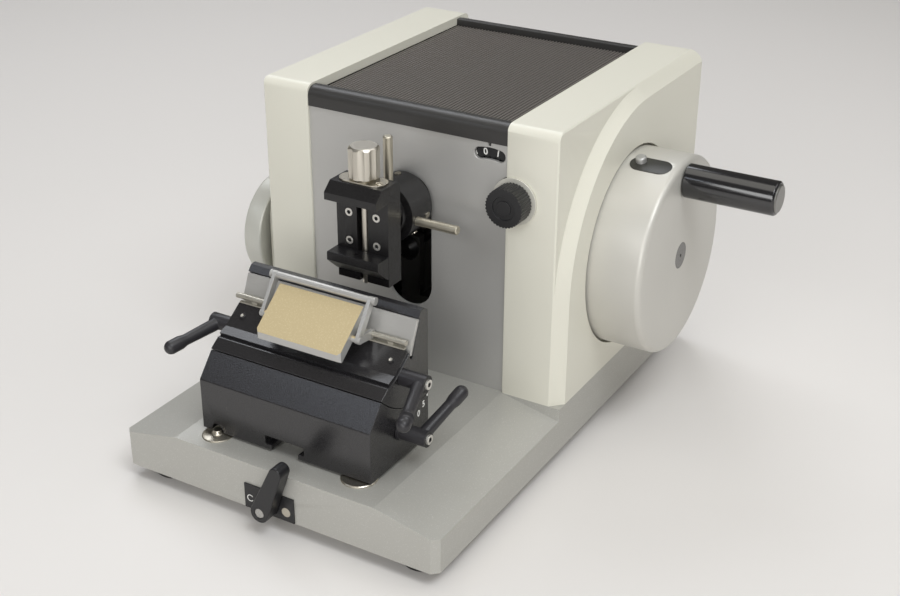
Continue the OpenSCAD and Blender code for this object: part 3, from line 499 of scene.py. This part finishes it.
# %% Rounded copies
ROUNDED = [
    ("base_plate", "base", 0.9, 3), ("feet", "rubber", 0.8, 2), ("guide_rails", "steel", 0.4, 2),
    ("locating_discs", "nickel", 0.25, 2), ("clamp_plate", "plastic", 0.3, 2),
    ("right_cover", "ivory", 1.1, 3), ("left_cover", "ivory", 1.1, 3),
    ("front_panel", "panel", 0.4, 2), ("rear_panel", "panel", 0.4, 2),
    ("top_trims", "trim", 0.2, 2), ("knob_ring", "ring", 0.4, 2),
    ("handwheel", "wheel", 0.6, 2), ("lock_plate", "satin_black", 1.0, 4),
    ("hub_cap", "cap", 0.3, 2), ("handle_grip", "gloss", 0.3, 2), ("grip_cap", "grip_cap", 0.2, 2),
    ("wheel_lock_pin", "satin", 0.3, 2), ("coarse_wheel", "coarse", 0.4, 2),
    ("specimen_arm", "black", 0.6, 2), ("ball_housing", "black_fine", 0.7, 2),
    ("pan_lock_pin", "pin", 0.3, 2), ("tilt_lock_pin", "pin", 0.3, 2),
    ("vice_body", "black_fine", 0.6, 3), ("vice_jaw", "black_fine", 0.5, 3),
    ("vice_top_plate", "nickel", 0.3, 2), ("vice_knob", "knob", 0.5, 3),
    ("holder_block", "black", 0.7, 3), ("holder_segment", "black", 0.5, 3),
    ("front_plate", "black", 0.4, 2), ("pressure_plate", "bright", 0.3, 2),
    ("guard_frame", "bright", 0.4, 2), ("guard_flap", "bright", 0.6, 3), ("guard_axle", "rod", 0.3, 2),
    ("front_clamp_lever", "plastic", 0.8, 3), ("clamp_shaft", "steel", 0.3, 2),
    ("thickness_knob", "plastic", 0.25, 2), ("thickness_dial", "plastic", 0.2, 1),
]
shown = {}
for node, mat, width, segments in ROUNDED:
    shown[node] = rounded(node, mat, width, segments)
print(len(shown), "rounded copies")

# %% [markdown]
# The rim of the dial's window is cut back at a slant, wider than the panel's other edges. The
# edges round the window get a weight, and a second bevel works on those alone. It runs before
# the first one, so that the slant's own edges are rounded too.


# %% Window rim
def rim(obj, lowest, highest, width):
    """Slants the front edges that lie inside a box, and says how many there are."""
    mesh = obj.data
    face_y = min(v.co.y for v in mesh.vertices)
    weight = mesh.attributes.new("bevel_weight_edge", "FLOAT", "EDGE")
    count = 0
    for edge in mesh.edges:
        ends = [mesh.vertices[i].co for i in edge.vertices]
        in_front = all(abs(v.y - face_y) < 0.05 * MM for v in ends)
        inside = all(lowest.x < v.x < highest.x and lowest.z < v.z < highest.z for v in ends)
        if in_front and inside:
            weight.data[edge.index].value = 1
            count += 1
    mod = obj.modifiers.new("rim", "BEVEL")
    mod.width = width * MM
    mod.segments = 1
    mod.limit_method = "WEIGHT"
    obj.modifiers.move(1, 0)
    return count


WINDOW_LOW, WINDOW_HIGH, RIM_W = mm(52, 0, 243), mm(91, 0, 264), 1.3
rim_edges = rim(shown["front_panel"], WINDOW_LOW, WINDOW_HIGH, RIM_W)
print(rim_edges, "edges round the window")

# %% [markdown]
# Parts that stay hidden, or are too small for their edges to count, only get a material.

# %% Materials straight on the parts
PLAIN = {
    "top_plate": "inner", "side_frames": "inner", "shaft_housing": "inner", "bearings": "bronze",
    "inner_brackets": "inner", "panel_screws": "steel", "drive_shaft": "rod", "crank_disc": "steel",
    "handle_spindle": "rod", "feed_carriage": "inner", "guide_columns": "steel",
    "feed_spindle": "black_fine", "ratchet_pawl": "steel", "lift_block": "inner",
    "housing_screws": "nickel", "pan_ring": "black_fine", "vice_ball": "steel",
}
for node, mat in PLAIN.items():
    mesh = frame["nodes"][node].data
    mesh.materials.clear()
    mesh.materials.append(M[mat])
print(len(PLAIN), "parts with a plain material")

# %% [markdown]
# ## Faces that need a second material
# The vice's socket screws are bright, and their sockets are coloured dark grey as painted shade, where
# a real hollow is in shade. The socket could be a piece of its own, but it is part of the same solid
# here, so its faces only get a second material. The blade holder's screws are the other way round:
# black heads as painted shade, and a bright steel middle as a painted highlight. One node holds
# several screws, so they are first told apart as islands of faces that touch.


# %% Sockets of the screws
def islands(faces):
    """Groups of faces that hang together."""
    left = set(faces)
    while left:
        group, todo = [], [left.pop()]
        while todo:
            face = todo.pop()
            group.append(face)
            near = {other for edge in face.edges for other in edge.link_faces} & left
            left -= near
            todo += near
        yield group


def socket_heads(node, axis, reach, head="screw", inside="socket_shade"):
    """Screw heads that look along axis, and their sockets, as wide as reach, in another colour. The
    second colour stands for painted shade or a painted highlight.
    """
    obj = rounded(node, head, 0.25)
    obj.data.materials.append(M[inside])
    axis = Vector(axis).normalized()
    work = bmesh.new()
    work.from_mesh(obj.data)
    for group in islands(work.faces):
        verts = {v for face in group for v in face.verts}
        middle = sum((v.co for v in verts), Vector()) / len(verts)
        top = max((v.co - middle).dot(axis) for v in verts)
        for face in group:
            place = face.calc_center_median() - middle
            depth = top - place.dot(axis)
            if depth > 0.1 * MM and (place - axis * place.dot(axis)).length < reach * MM:
                face.material_index = 1
    work.to_mesh(obj.data)
    work.free()
    return obj


# The vice screws' sockets are painted shade: dark grey in the shaded hollow.
shown["vice_screws"] = socket_heads("vice_screws", (0, -1, 0), 1.7)
PLATE_SLOPE = math.radians(34.5)
slope_up = (0, -math.sin(PLATE_SLOPE), math.cos(PLATE_SLOPE))
# The holder screws' heads are black as painted shade, and their socket floors bright steel as a
# painted highlight.
shown["holder_screws"] = socket_heads("holder_screws", slope_up, 1.35, "black", "screw")
print("sockets painted on two sets of screws")

# %% [markdown]
# The blade guard's flap is gold on its sloping top, and bare metal on its edges and underneath.
# The way a face looks tells the two apart.

# %% The flap's top
flap = shown["guard_flap"]
flap.data.materials.append(M["gold"])
faces_up = [face for face in flap.data.polygons if face.normal.z > 0.7]
for face in faces_up:
    face.material_index = 1
print("gold faces on the flap:", len(faces_up))

# %% [markdown]
# ## Levers with a bright screw
# A lever is one solid, but its socket screw is steel, and the screw's hex socket is coloured dark as
# painted shade. The faces that belong to the screw are
# told apart by where they lie: beyond the end of the hub, close to its axis.


# %% Levers
HEAD_R, HEX_R = 4.1, 2.1


def lever(node, hub_end, axis_y, axis_z):
    """A lever whose hub ends at hub_end and turns on the axis given, in millimetres."""
    obj = rounded(node, "lever", 0.35, 2, 40)
    obj.data.materials.append(M["screw"])
    obj.data.materials.append(M["socket_shade"])
    places = [(face, face.center / MM) for face in obj.data.polygons]
    screw = [(face, x, math.hypot(y - axis_y, z - axis_z)) for face, (x, y, z) in places]
    near_end = abs(hub_end) - 3
    screw = [(face, abs(x), away) for face, x, away in screw if away < HEAD_R and abs(x) > near_end]
    top = max(x for face, x, away in screw)
    for face, x, away in screw:
        # Faces inside the hex socket get the painted shade.
        if away < HEX_R and x < top - 0.1:
            face.material_index = 2
        elif x > abs(hub_end) - 0.02:
            face.material_index = 1
    print(node, "screw head at", round(top, 2), "mm with", len(screw), "faces")
    return obj


LEFT_END, RIGHT_END = -81.3, 76.3
UPPER_PIN, LOWER_PIN = (-124.6, 123.4), (-128.5, 79.5)
HUB_BLADE, HUB_ANGLE, HUB_BLOCK = 19, 21.5, 24.5
shown["blade_lever"] = lever("blade_lever", LEFT_END - HUB_BLADE, *UPPER_PIN)
shown["angle_lever"] = lever("angle_lever", RIGHT_END + HUB_ANGLE, *UPPER_PIN)
shown["block_lever"] = lever("block_lever", RIGHT_END + HUB_BLOCK, *LOWER_PIN)
print("three levers")

# %% [markdown]
# ## The ribbed mat
# The rubber mat on top has a rib every few millimetres. A bump could suggest them, but the lamps
# come in low, and only real ribs shade and hide each other. It starts from one rounded bar.


# %% One rib
def bar_mesh(name, length, width, height, segments=5):
    """A bar along Y with a rounded top, standing on z = 0."""
    mesh = bpy.data.meshes.new(name)
    work = bmesh.new()
    half = width / 2
    ring = [(-half, -0.3), (-half, height - half * 0.7)]
    for i in range(1, segments):
        a = math.pi - math.pi * i / segments
        ring.append((half * math.cos(a), height - half * 0.7 + half * 0.7 * math.sin(a)))
    ring += [(half, height - half * 0.7), (half, -0.3)]
    ends = []
    for y in (0, length):
        ends.append([work.verts.new(mm(x, y, z)) for x, z in ring])
    count = len(ring)
    for i in range(count):
        j = (i + 1) % count
        work.faces.new((ends[0][i], ends[0][j], ends[1][j], ends[1][i]))
    work.faces.new(list(reversed(ends[0])))
    work.faces.new(ends[1])
    bmesh.ops.recalc_face_normals(work, faces=work.faces)
    work.to_mesh(mesh)
    work.free()
    show_smooth(mesh, 50)
    return mesh


RIBS, RIB_PITCH, RIB_W, RIB_H, SHEET_H = 57, 3.2, 1.9, 1.1, 1.4
lo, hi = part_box("top_mat")
rib_mesh = bar_mesh("rib", (hi.y - lo.y) / MM, RIB_W, RIB_H)
print("one rib has", len(rib_mesh.polygons), "faces")

# %% [markdown]
# Geometry Nodes repeat the bar along a line. The nodes keep the number, the start and the step as
# inputs, so the row can be changed without touching the bar. The tree ends by making the copies
# real, because copies that aren't real don't leave the file.


# %% A row of bars
def row_group():
    """Stands copies of a bar along a line, on top of the geometry it is given."""
    group = bpy.data.node_groups.new("row_of_bars", "GeometryNodeTree")
    face = group.interface
    face.new_socket(name="Geometry", in_out="INPUT", socket_type="NodeSocketGeometry")
    face.new_socket(name="Bar", in_out="INPUT", socket_type="NodeSocketObject")
    face.new_socket(name="Count", in_out="INPUT", socket_type="NodeSocketInt")
    face.new_socket(name="Start", in_out="INPUT", socket_type="NodeSocketVector")
    face.new_socket(name="Step", in_out="INPUT", socket_type="NodeSocketVector")
    face.new_socket(name="Material", in_out="INPUT", socket_type="NodeSocketMaterial")
    face.new_socket(name="Geometry", in_out="OUTPUT", socket_type="NodeSocketGeometry")
    given = group.nodes.new("NodeGroupInput").outputs
    result = group.nodes.new("NodeGroupOutput").inputs
    line = add(group, "GeometryNodeMeshLine", mode="OFFSET")
    wire(group, given["Count"], line.inputs["Count"])
    wire(group, given["Start"], line.inputs["Start Location"])
    wire(group, given["Step"], line.inputs["Offset"])
    info = add(group, "GeometryNodeObjectInfo")
    wire(group, given["Bar"], info.inputs["Object"])
    place = add(group, "GeometryNodeInstanceOnPoints")
    wire(group, line.outputs[0], place.inputs["Points"])
    wire(group, info.outputs["Geometry"], place.inputs["Instance"])
    real = add(group, "GeometryNodeRealizeInstances")
    wire(group, place.outputs[0], real.inputs[0])
    paint = add(group, "GeometryNodeSetMaterial")
    wire(group, real.outputs[0], paint.inputs["Geometry"])
    wire(group, given["Material"], paint.inputs["Material"])
    join = add(group, "GeometryNodeJoinGeometry")
    wire(group, paint.outputs[0], join.inputs[0])
    wire(group, given["Geometry"], join.inputs[0])
    wire(group, join.outputs[0], result[0])
    return group


def bake(obj, group, values):
    """Runs a node group on obj with the named values and returns the finished mesh."""
    mod = obj.modifiers.new(group.name, "NODES")
    mod.node_group = group
    for item in group.interface.items_tree:
        if item.item_type == "SOCKET" and item.in_out == "INPUT" and item.name in values:
            mod[item.identifier] = values[item.name]
    bpy.context.view_layer.update()
    graph = bpy.context.evaluated_depsgraph_get()
    mesh = bpy.data.meshes.new_from_object(obj.evaluated_get(graph))
    obj.modifiers.remove(mod)
    return mesh


def scratch(name, mesh):
    """An object that is only needed for a moment."""
    obj = bpy.data.objects.new(name, mesh)
    bpy.context.scene.collection.objects.link(obj)
    return obj


ROW = row_group()
print("node tree:", ROW.name)

# %% [markdown]
# The ribs stand on a thin sheet of the same rubber, coloured much darker than the ribs as painted
# shade in the grooves between them. Sheet and ribs become one plain mesh, and the scratch objects are
# deleted.

# %% The mat
rib = scratch("rib", rib_mesh)
sheet = bmesh.new()
bmesh.ops.create_cube(
    sheet,
    size=1,
    matrix=Matrix.Translation(
        Vector(((lo.x + hi.x) / 2, (lo.y + hi.y) / 2, lo.z + SHEET_H / 2 * MM))
    )
    @ Matrix.Diagonal(Vector((hi.x - lo.x, hi.y - lo.y, SHEET_H * MM, 1))),
)
sheet_mesh = bpy.data.meshes.new("sheet")
sheet.to_mesh(sheet_mesh)
sheet.free()
sheet_obj = scratch("sheet", sheet_mesh)
# The sheet gets the painted groove shade.
sheet_mesh.materials.append(M["groove_shade"])
first = -(RIBS - 1) / 2 * RIB_PITCH * MM
mat_mesh = bake(sheet_obj, ROW, {
    "Bar": rib, "Count": RIBS, "Start": (first, lo.y, lo.z + SHEET_H * MM),
    "Step": (RIB_PITCH * MM, 0, 0), "Material": M["mat"],
})
for obj in (rib, sheet_obj):
    bpy.data.objects.remove(obj)
kinds = list(mat_mesh.materials)
kind_of = [face.material_index for face in mat_mesh.polygons]
put("top_mat_shown", mat_mesh, kinds, BODY_OF["top_mat"], ["top_mat"])
mat_mesh.polygons.foreach_set("material_index", kind_of)
print("the mat has", RIBS, "ribs and", len(mat_mesh.polygons), "faces")

# %% [markdown]
# ## Numbers and marks
# Numbers are made as text, turned into meshes, and only then moved to their place, so that each
# piece's own origin stays at the model's origin.


# %% Helpers for numbers
def number_mesh(text, height, bold):
    """A number that lies flat, centred, height millimetres high. bold thickens its strokes."""
    curve = bpy.data.curves.new("n" + text, "FONT")
    curve.body = text
    curve.size = height * MM * 1.35
    curve.align_x = "CENTER"
    curve.align_y = "CENTER"
    curve.extrude = 0.01 * MM
    curve.offset = bold * MM
    obj = bpy.data.objects.new("n" + text, curve)
    bpy.context.scene.collection.objects.link(obj)
    bpy.context.view_layer.update()
    graph = bpy.context.evaluated_depsgraph_get()
    mesh = bpy.data.meshes.new_from_object(obj.evaluated_get(graph))
    bpy.data.objects.remove(obj)
    return mesh


def joined(name, parts, mats, body):
    """One piece from (mesh, matrix) pairs."""
    work = bmesh.new()
    for mesh, matrix in parts:
        mesh.transform(matrix)
        work.from_mesh(mesh)
    mesh = bpy.data.meshes.new(name)
    work.to_mesh(mesh)
    work.free()
    return put(name, mesh, mats, body)


def facing(origin, across, up):
    """Puts a flat shape's X along across and its Y along up, at origin."""
    x, y = Vector(across).normalized(), Vector(up).normalized()
    z = x.cross(y)
    return Matrix.Translation(origin) @ Matrix((x, y, z)).transposed().to_4x4()


print("numbers are text turned into flat meshes")

# %% [markdown]
# The thickness dial is a disc behind a window, with a ring of numbers. All of them are there,
# although the window shows two, because the dial turns.

# %% Numbers on the dial
DIAL_X, DIAL_Z, DIAL_FACE = 76, 214.5, 5.9
NUMBERS, NUMBER_R, FIRST_ANGLE = 24, 41.7, -7.4
digits = []
for i in range(NUMBERS):
    a = math.radians(FIRST_ANGLE + i * 360 / NUMBERS)
    radial = Vector((math.sin(a), 0, math.cos(a)))
    spot = mm(DIAL_X, DIAL_FACE - 0.02, DIAL_Z) + radial * NUMBER_R * MM
    across = Vector((math.cos(a), 0, -math.sin(a)))
    digits.append((number_mesh(str(i), 5.6, 0.15), facing(spot, across, radial)))
joined("dial_numbers", digits, [M["white"]], "dial")
print(len(digits), "numbers on the dial")

# %% [markdown]
# The angle of the blade holder's upper part is read on its right end, on a short scale.

# %% The angle scale
HOLDER_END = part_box("holder_block")[1].x / MM
CRADLE_Y, CRADLE_Z = -97, 166


def plate(width, height, thick=0.02):
    """A flat mark, centred, as wide and high as given, in millimetres."""
    mesh = bpy.data.meshes.new("mark")
    work = bmesh.new()
    size = Matrix.Diagonal(Vector((width * MM, height * MM, thick * MM, 1)))
    bmesh.ops.create_cube(work, size=1, matrix=size)
    work.to_mesh(mesh)
    work.free()
    return mesh


def on_end(x, angle, radius):
    """A place on the holder's right end, by its angle and radius about the tilting axis."""
    a = math.radians(angle)
    out = Vector((0, math.cos(a), math.sin(a)))
    spot = mm(x, CRADLE_Y, CRADLE_Z) + out * radius * MM
    return facing(spot, Vector((0, -out.z, out.y)), -out)


TICK_W, TICK_H, TICK_ANGLE, TICK_R = 1.3, 2.0, -84.5, 75.8
SCALE = (("5", -88.7, 80.8), ("0", -93.5, 85.9))
marks = [(plate(TICK_W, TICK_H), on_end(HOLDER_END + 0.01, TICK_ANGLE, TICK_R))]
for text, angle, radius in SCALE:
    marks.append((number_mesh(text, 5.4, 0.18), on_end(HOLDER_END + 0.03, angle, radius)))
joined("angle_scale", marks, [M["white"]], "holder")
print("angle scale:", len(marks), "marks")

# %% [markdown]
# The clamp lever's plate has a bright screw on the right and, on the left, an open ring that
# marks the way the lever turns.


# %% The clamp plate's marks
def disc(radius, thick, steps=48, inner=0, sweep=360):
    """A flat disc or part of a ring in its own XY plane, in millimetres."""
    mesh = bpy.data.meshes.new("disc")
    work = bmesh.new()
    rings = []
    whole = sweep >= 360
    for i in range(steps if whole else steps + 1):
        a = math.radians(sweep * i / steps)
        place = Vector((math.cos(a), math.sin(a), 0))
        up = Vector((0, 0, thick * MM))
        rings.append(
            [work.verts.new(place * r * MM + h) for r in (inner, radius) for h in (Vector(), up)]
        )
    following = rings[1:] + rings[:1] if whole else rings[1:]
    for a, b in zip(rings, following):
        for i, j in ((0, 1), (1, 3), (3, 2), (2, 0)):
            if len({tuple(v.co) for v in (a[i], a[j], b[j], b[i])}) >= 3:
                work.faces.new((a[i], a[j], b[j], b[i]))
    bmesh.ops.remove_doubles(work, verts=work.verts, dist=WELD / 2)
    bmesh.ops.dissolve_degenerate(work, edges=work.edges, dist=WELD / 2)
    bmesh.ops.recalc_face_normals(work, faces=work.faces)
    work.to_mesh(mesh)
    work.free()
    return mesh


CLAMP_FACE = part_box("clamp_plate")[0].y / MM
DOT_X, DOT_Z, MARK_X, MARK_Z = 13.6, 20.5, -19.6, 22
dot = facing(mm(DOT_X, CLAMP_FACE + 0.45, DOT_Z), (1, 0, 0), (0, 0, 1))
joined("clamp_dot", [(disc(3.9, 0.35), dot)], [M["nickel"]], "frame")
mark = facing(mm(MARK_X, CLAMP_FACE - 0.01, MARK_Z), (1, 0, 0), (0, 0, 1))
mark = mark @ Matrix.Rotation(0.6, 4, "Z")
joined("clamp_mark", [(disc(3.0, 0.02, inner=2.3, sweep=290), mark)], [M["white"]], "frame")
print("clamp plate marked")

# %% [markdown]
# ## The room
# A pale floor, much larger than the view, stands for the paper of a studio. A weak warm light
# from all round fills what the lamps don't reach.

# %% Floor and room light
FLOOR_HALF = 6
floor_mesh = bpy.data.meshes.new("floor")
work = bmesh.new()
bmesh.ops.create_grid(work, x_segments=1, y_segments=1, size=FLOOR_HALF)
work.to_mesh(floor_mesh)
work.free()
floor = bpy.data.objects.new("floor", floor_mesh)
bpy.context.scene.collection.objects.link(floor)
paper = bpy.data.materials.new("paper")
paper.use_nodes = True
shader = paper.node_tree.nodes["Principled BSDF"]
shader.inputs["Base Color"].default_value = screen(228, 225, 222)
shader.inputs["Roughness"].default_value = 0.7
shader.inputs["Specular IOR Level"].default_value = 0.2
floor_mesh.materials.append(paper)
floor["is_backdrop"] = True

world = bpy.data.worlds.new("room")
bpy.context.scene.world = world
world.use_nodes = True
sky = world.node_tree.nodes["Background"]
sky.inputs["Color"].default_value = (1.0, 0.94, 0.84, 1)
sky.inputs["Strength"].default_value = 0.14
print("floor of", 2 * FLOOR_HALF, "m")

# %% [markdown]
# ## Lamps
# Large lamps give soft shadows and wide, quiet reflections in metal. Each is set by the direction
# it shines from, as seen from the middle of the model. The narrow one stands for a window and
# draws the cool streaks on the black faces.

# %% Lamps
MIDDLE = mm(0, 20, 140)


def lamp(name, around, above, away, size, power, colour=(1, 1, 1)):
    """A soft lamp aimed at the model. around is 0 in front and grows to the right, in degrees."""
    turn, rise = math.radians(around), math.radians(above)
    data = bpy.data.lights.new(name, "AREA")
    data.shape = "RECTANGLE"
    data.size, data.size_y = size
    data.energy = power
    data.color = colour
    obj = bpy.data.objects.new(name, data)
    bpy.context.scene.collection.objects.link(obj)
    level = math.cos(rise)
    direction = Vector((math.sin(turn) * level, -math.cos(turn) * level, math.sin(rise)))
    obj.location = MIDDLE + direction * away
    obj.rotation_mode = "QUATERNION"
    obj.rotation_quaternion = (-direction).to_track_quat("-Z", "Y")
    obj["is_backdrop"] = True


lamp("key", 60, 55, 2.6, (1.2, 1.2), 27.5, (0.97, 1.0, 1.03))
lamp("front", 5, 28, 2.8, (1.2, 1.0), 15.5)
lamp("low", 30, 12, 2.8, (1.4, 0.8), 17.5)
lamp("back_left", -130, 50, 2.6, (1.4, 1.2), 20, (0.97, 1.0, 1.06))
lamp("back_right", 125, 50, 2.6, (1.4, 1.2), 7.5)
lamp("top", 0, 88, 2.4, (1.8, 1.8), 12.5, (1.0, 0.97, 0.9))
lamp("window", -34, 38.5, 2.6, (1.6, 0.16), 3, (0.88, 0.95, 1.08))
print("seven lamps")

# %% [markdown]
# ## Camera
# The camera stands to the right of the front and looks down on the model. Two angles and a small
# roll give the directions ahead of it, to its right and above it.

# %% Camera
CAMERA_PLACE = mm(560.7, -877.6, 635.2)
camera_data = bpy.data.cameras.new("camera")
camera_data.lens = 56.15
camera_data.sensor_width = 36
camera_data.clip_start, camera_data.clip_end = 0.05, 50
camera = bpy.data.objects.new("camera", camera_data)
bpy.context.scene.collection.objects.link(camera)
azimuth, elevation, roll = math.radians(30.54), math.radians(26.55), math.radians(0.22)
level = math.cos(elevation)
ahead = Vector((-math.sin(azimuth) * level, math.cos(azimuth) * level, -math.sin(elevation)))
side = ahead.cross(Vector((0, 0, 1))).normalized()
above = side.cross(ahead)
right = side * math.cos(roll) + above * math.sin(roll)
up = above * math.cos(roll) - side * math.sin(roll)
facing_ahead = Matrix((right, up, -ahead)).transposed().to_4x4()
camera.matrix_world = Matrix.Translation(CAMERA_PLACE) @ facing_ahead
camera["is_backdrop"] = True
bpy.context.scene.camera = camera
bpy.context.scene.view_settings.view_transform = "Standard"
print("camera at", [round(v, 3) for v in camera.location])

# %% Finish
box_shown = [list(corner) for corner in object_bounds()]
print("shown box", [[round(v, 4) for v in corner] for corner in box_shown])
